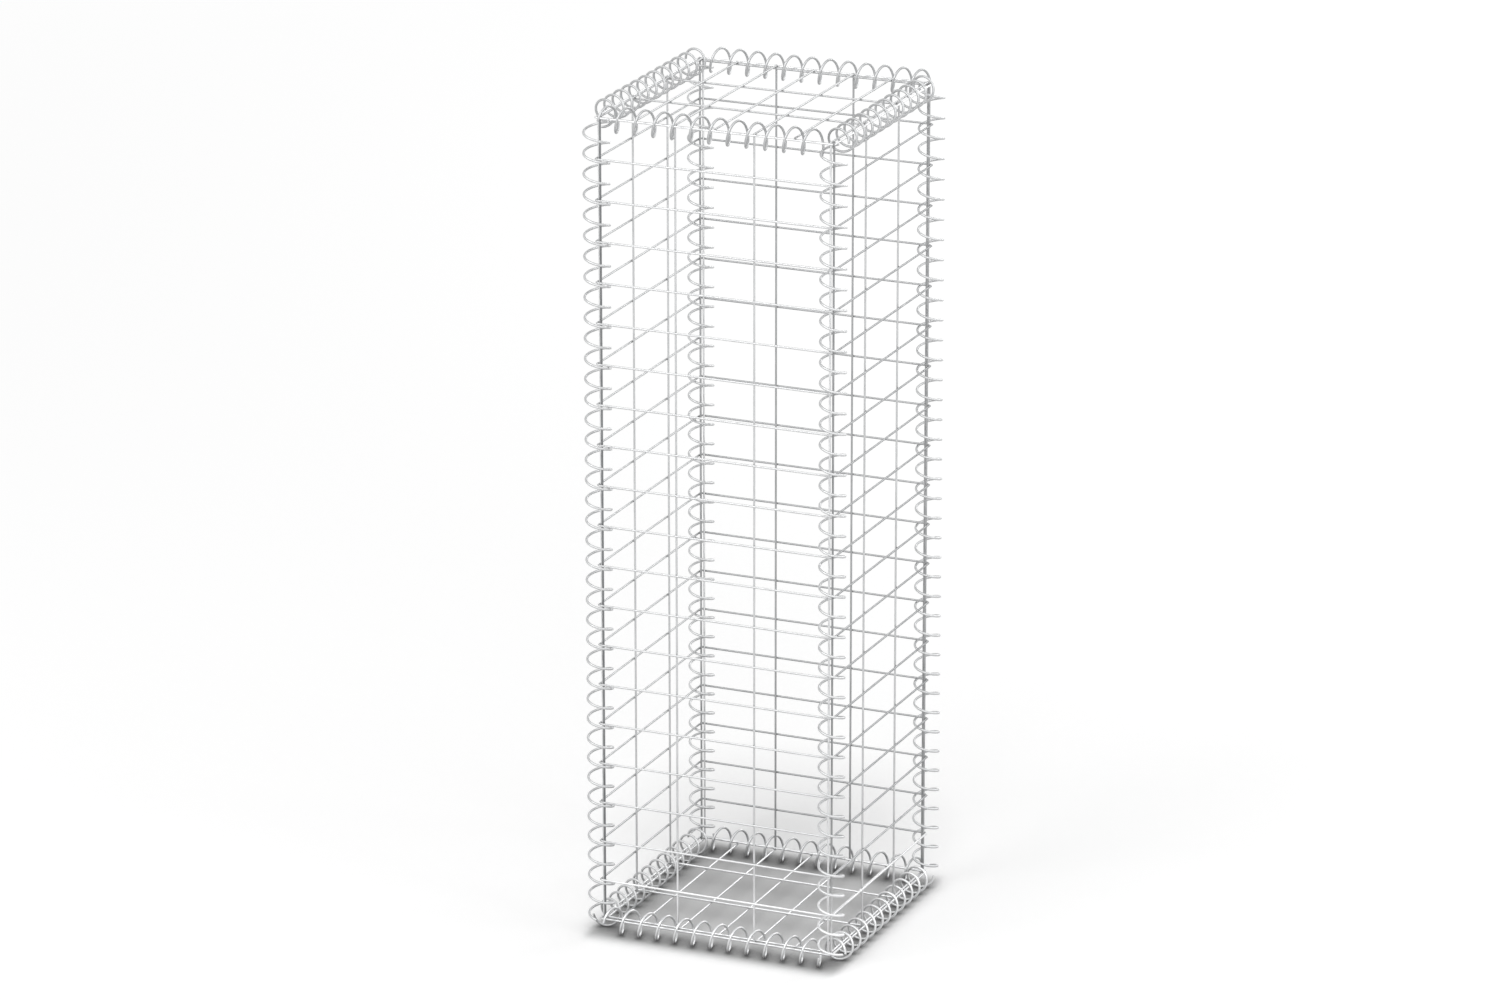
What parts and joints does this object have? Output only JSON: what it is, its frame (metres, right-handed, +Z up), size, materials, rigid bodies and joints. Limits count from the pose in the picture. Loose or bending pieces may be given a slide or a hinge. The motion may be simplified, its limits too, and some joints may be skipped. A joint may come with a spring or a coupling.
{
  "type": "gabion basket",
  "caption": "Tall square column basket of welded wire mesh, laced together along every edge with open wire spirals, for filling with stone.",
  "frame": {"origin": "on the floor under the middle of the basket", "axes": "+Z up along the column, +X to the right along the front panel, +Y from the front panel to the back panel"},
  "size_m": [0.333, 0.333, 1.033],
  "materials": {
    "panel_wire": "zinc-coated drawn steel wire, satin grey with faint streaks, paler on the edge wires and the base",
    "lacing_wire": "zinc-coated drawn steel wire, satin grey, paler along the base"
  },
  "bodies": {
    "root": {"front_panel_rows": "panel_wire", "front_panel_uprights": "panel_wire", "right_panel_rows": "panel_wire", "right_panel_uprights": "panel_wire", "back_panel_rows": "panel_wire", "back_panel_uprights": "panel_wire", "left_panel_rows": "panel_wire", "left_panel_uprights": "panel_wire", "base_panel_side_to_side_wires": "panel_wire", "base_panel_front_to_back_wires": "panel_wire", "lid_panel_side_to_side_wires": "panel_wire", "lid_panel_front_to_back_wires": "panel_wire", "front_left_corner_spiral": "lacing_wire", "front_right_corner_spiral": "lacing_wire", "back_right_corner_spiral": "lacing_wire", "back_left_corner_spiral": "lacing_wire", "base_front_spiral": "lacing_wire", "base_right_spiral": "lacing_wire", "base_back_spiral": "lacing_wire", "base_left_spiral": "lacing_wire", "lid_front_spiral": "lacing_wire", "lid_right_spiral": "lacing_wire", "lid_back_spiral": "lacing_wire", "lid_left_spiral": "lacing_wire"}
  },
  "joints": []
}
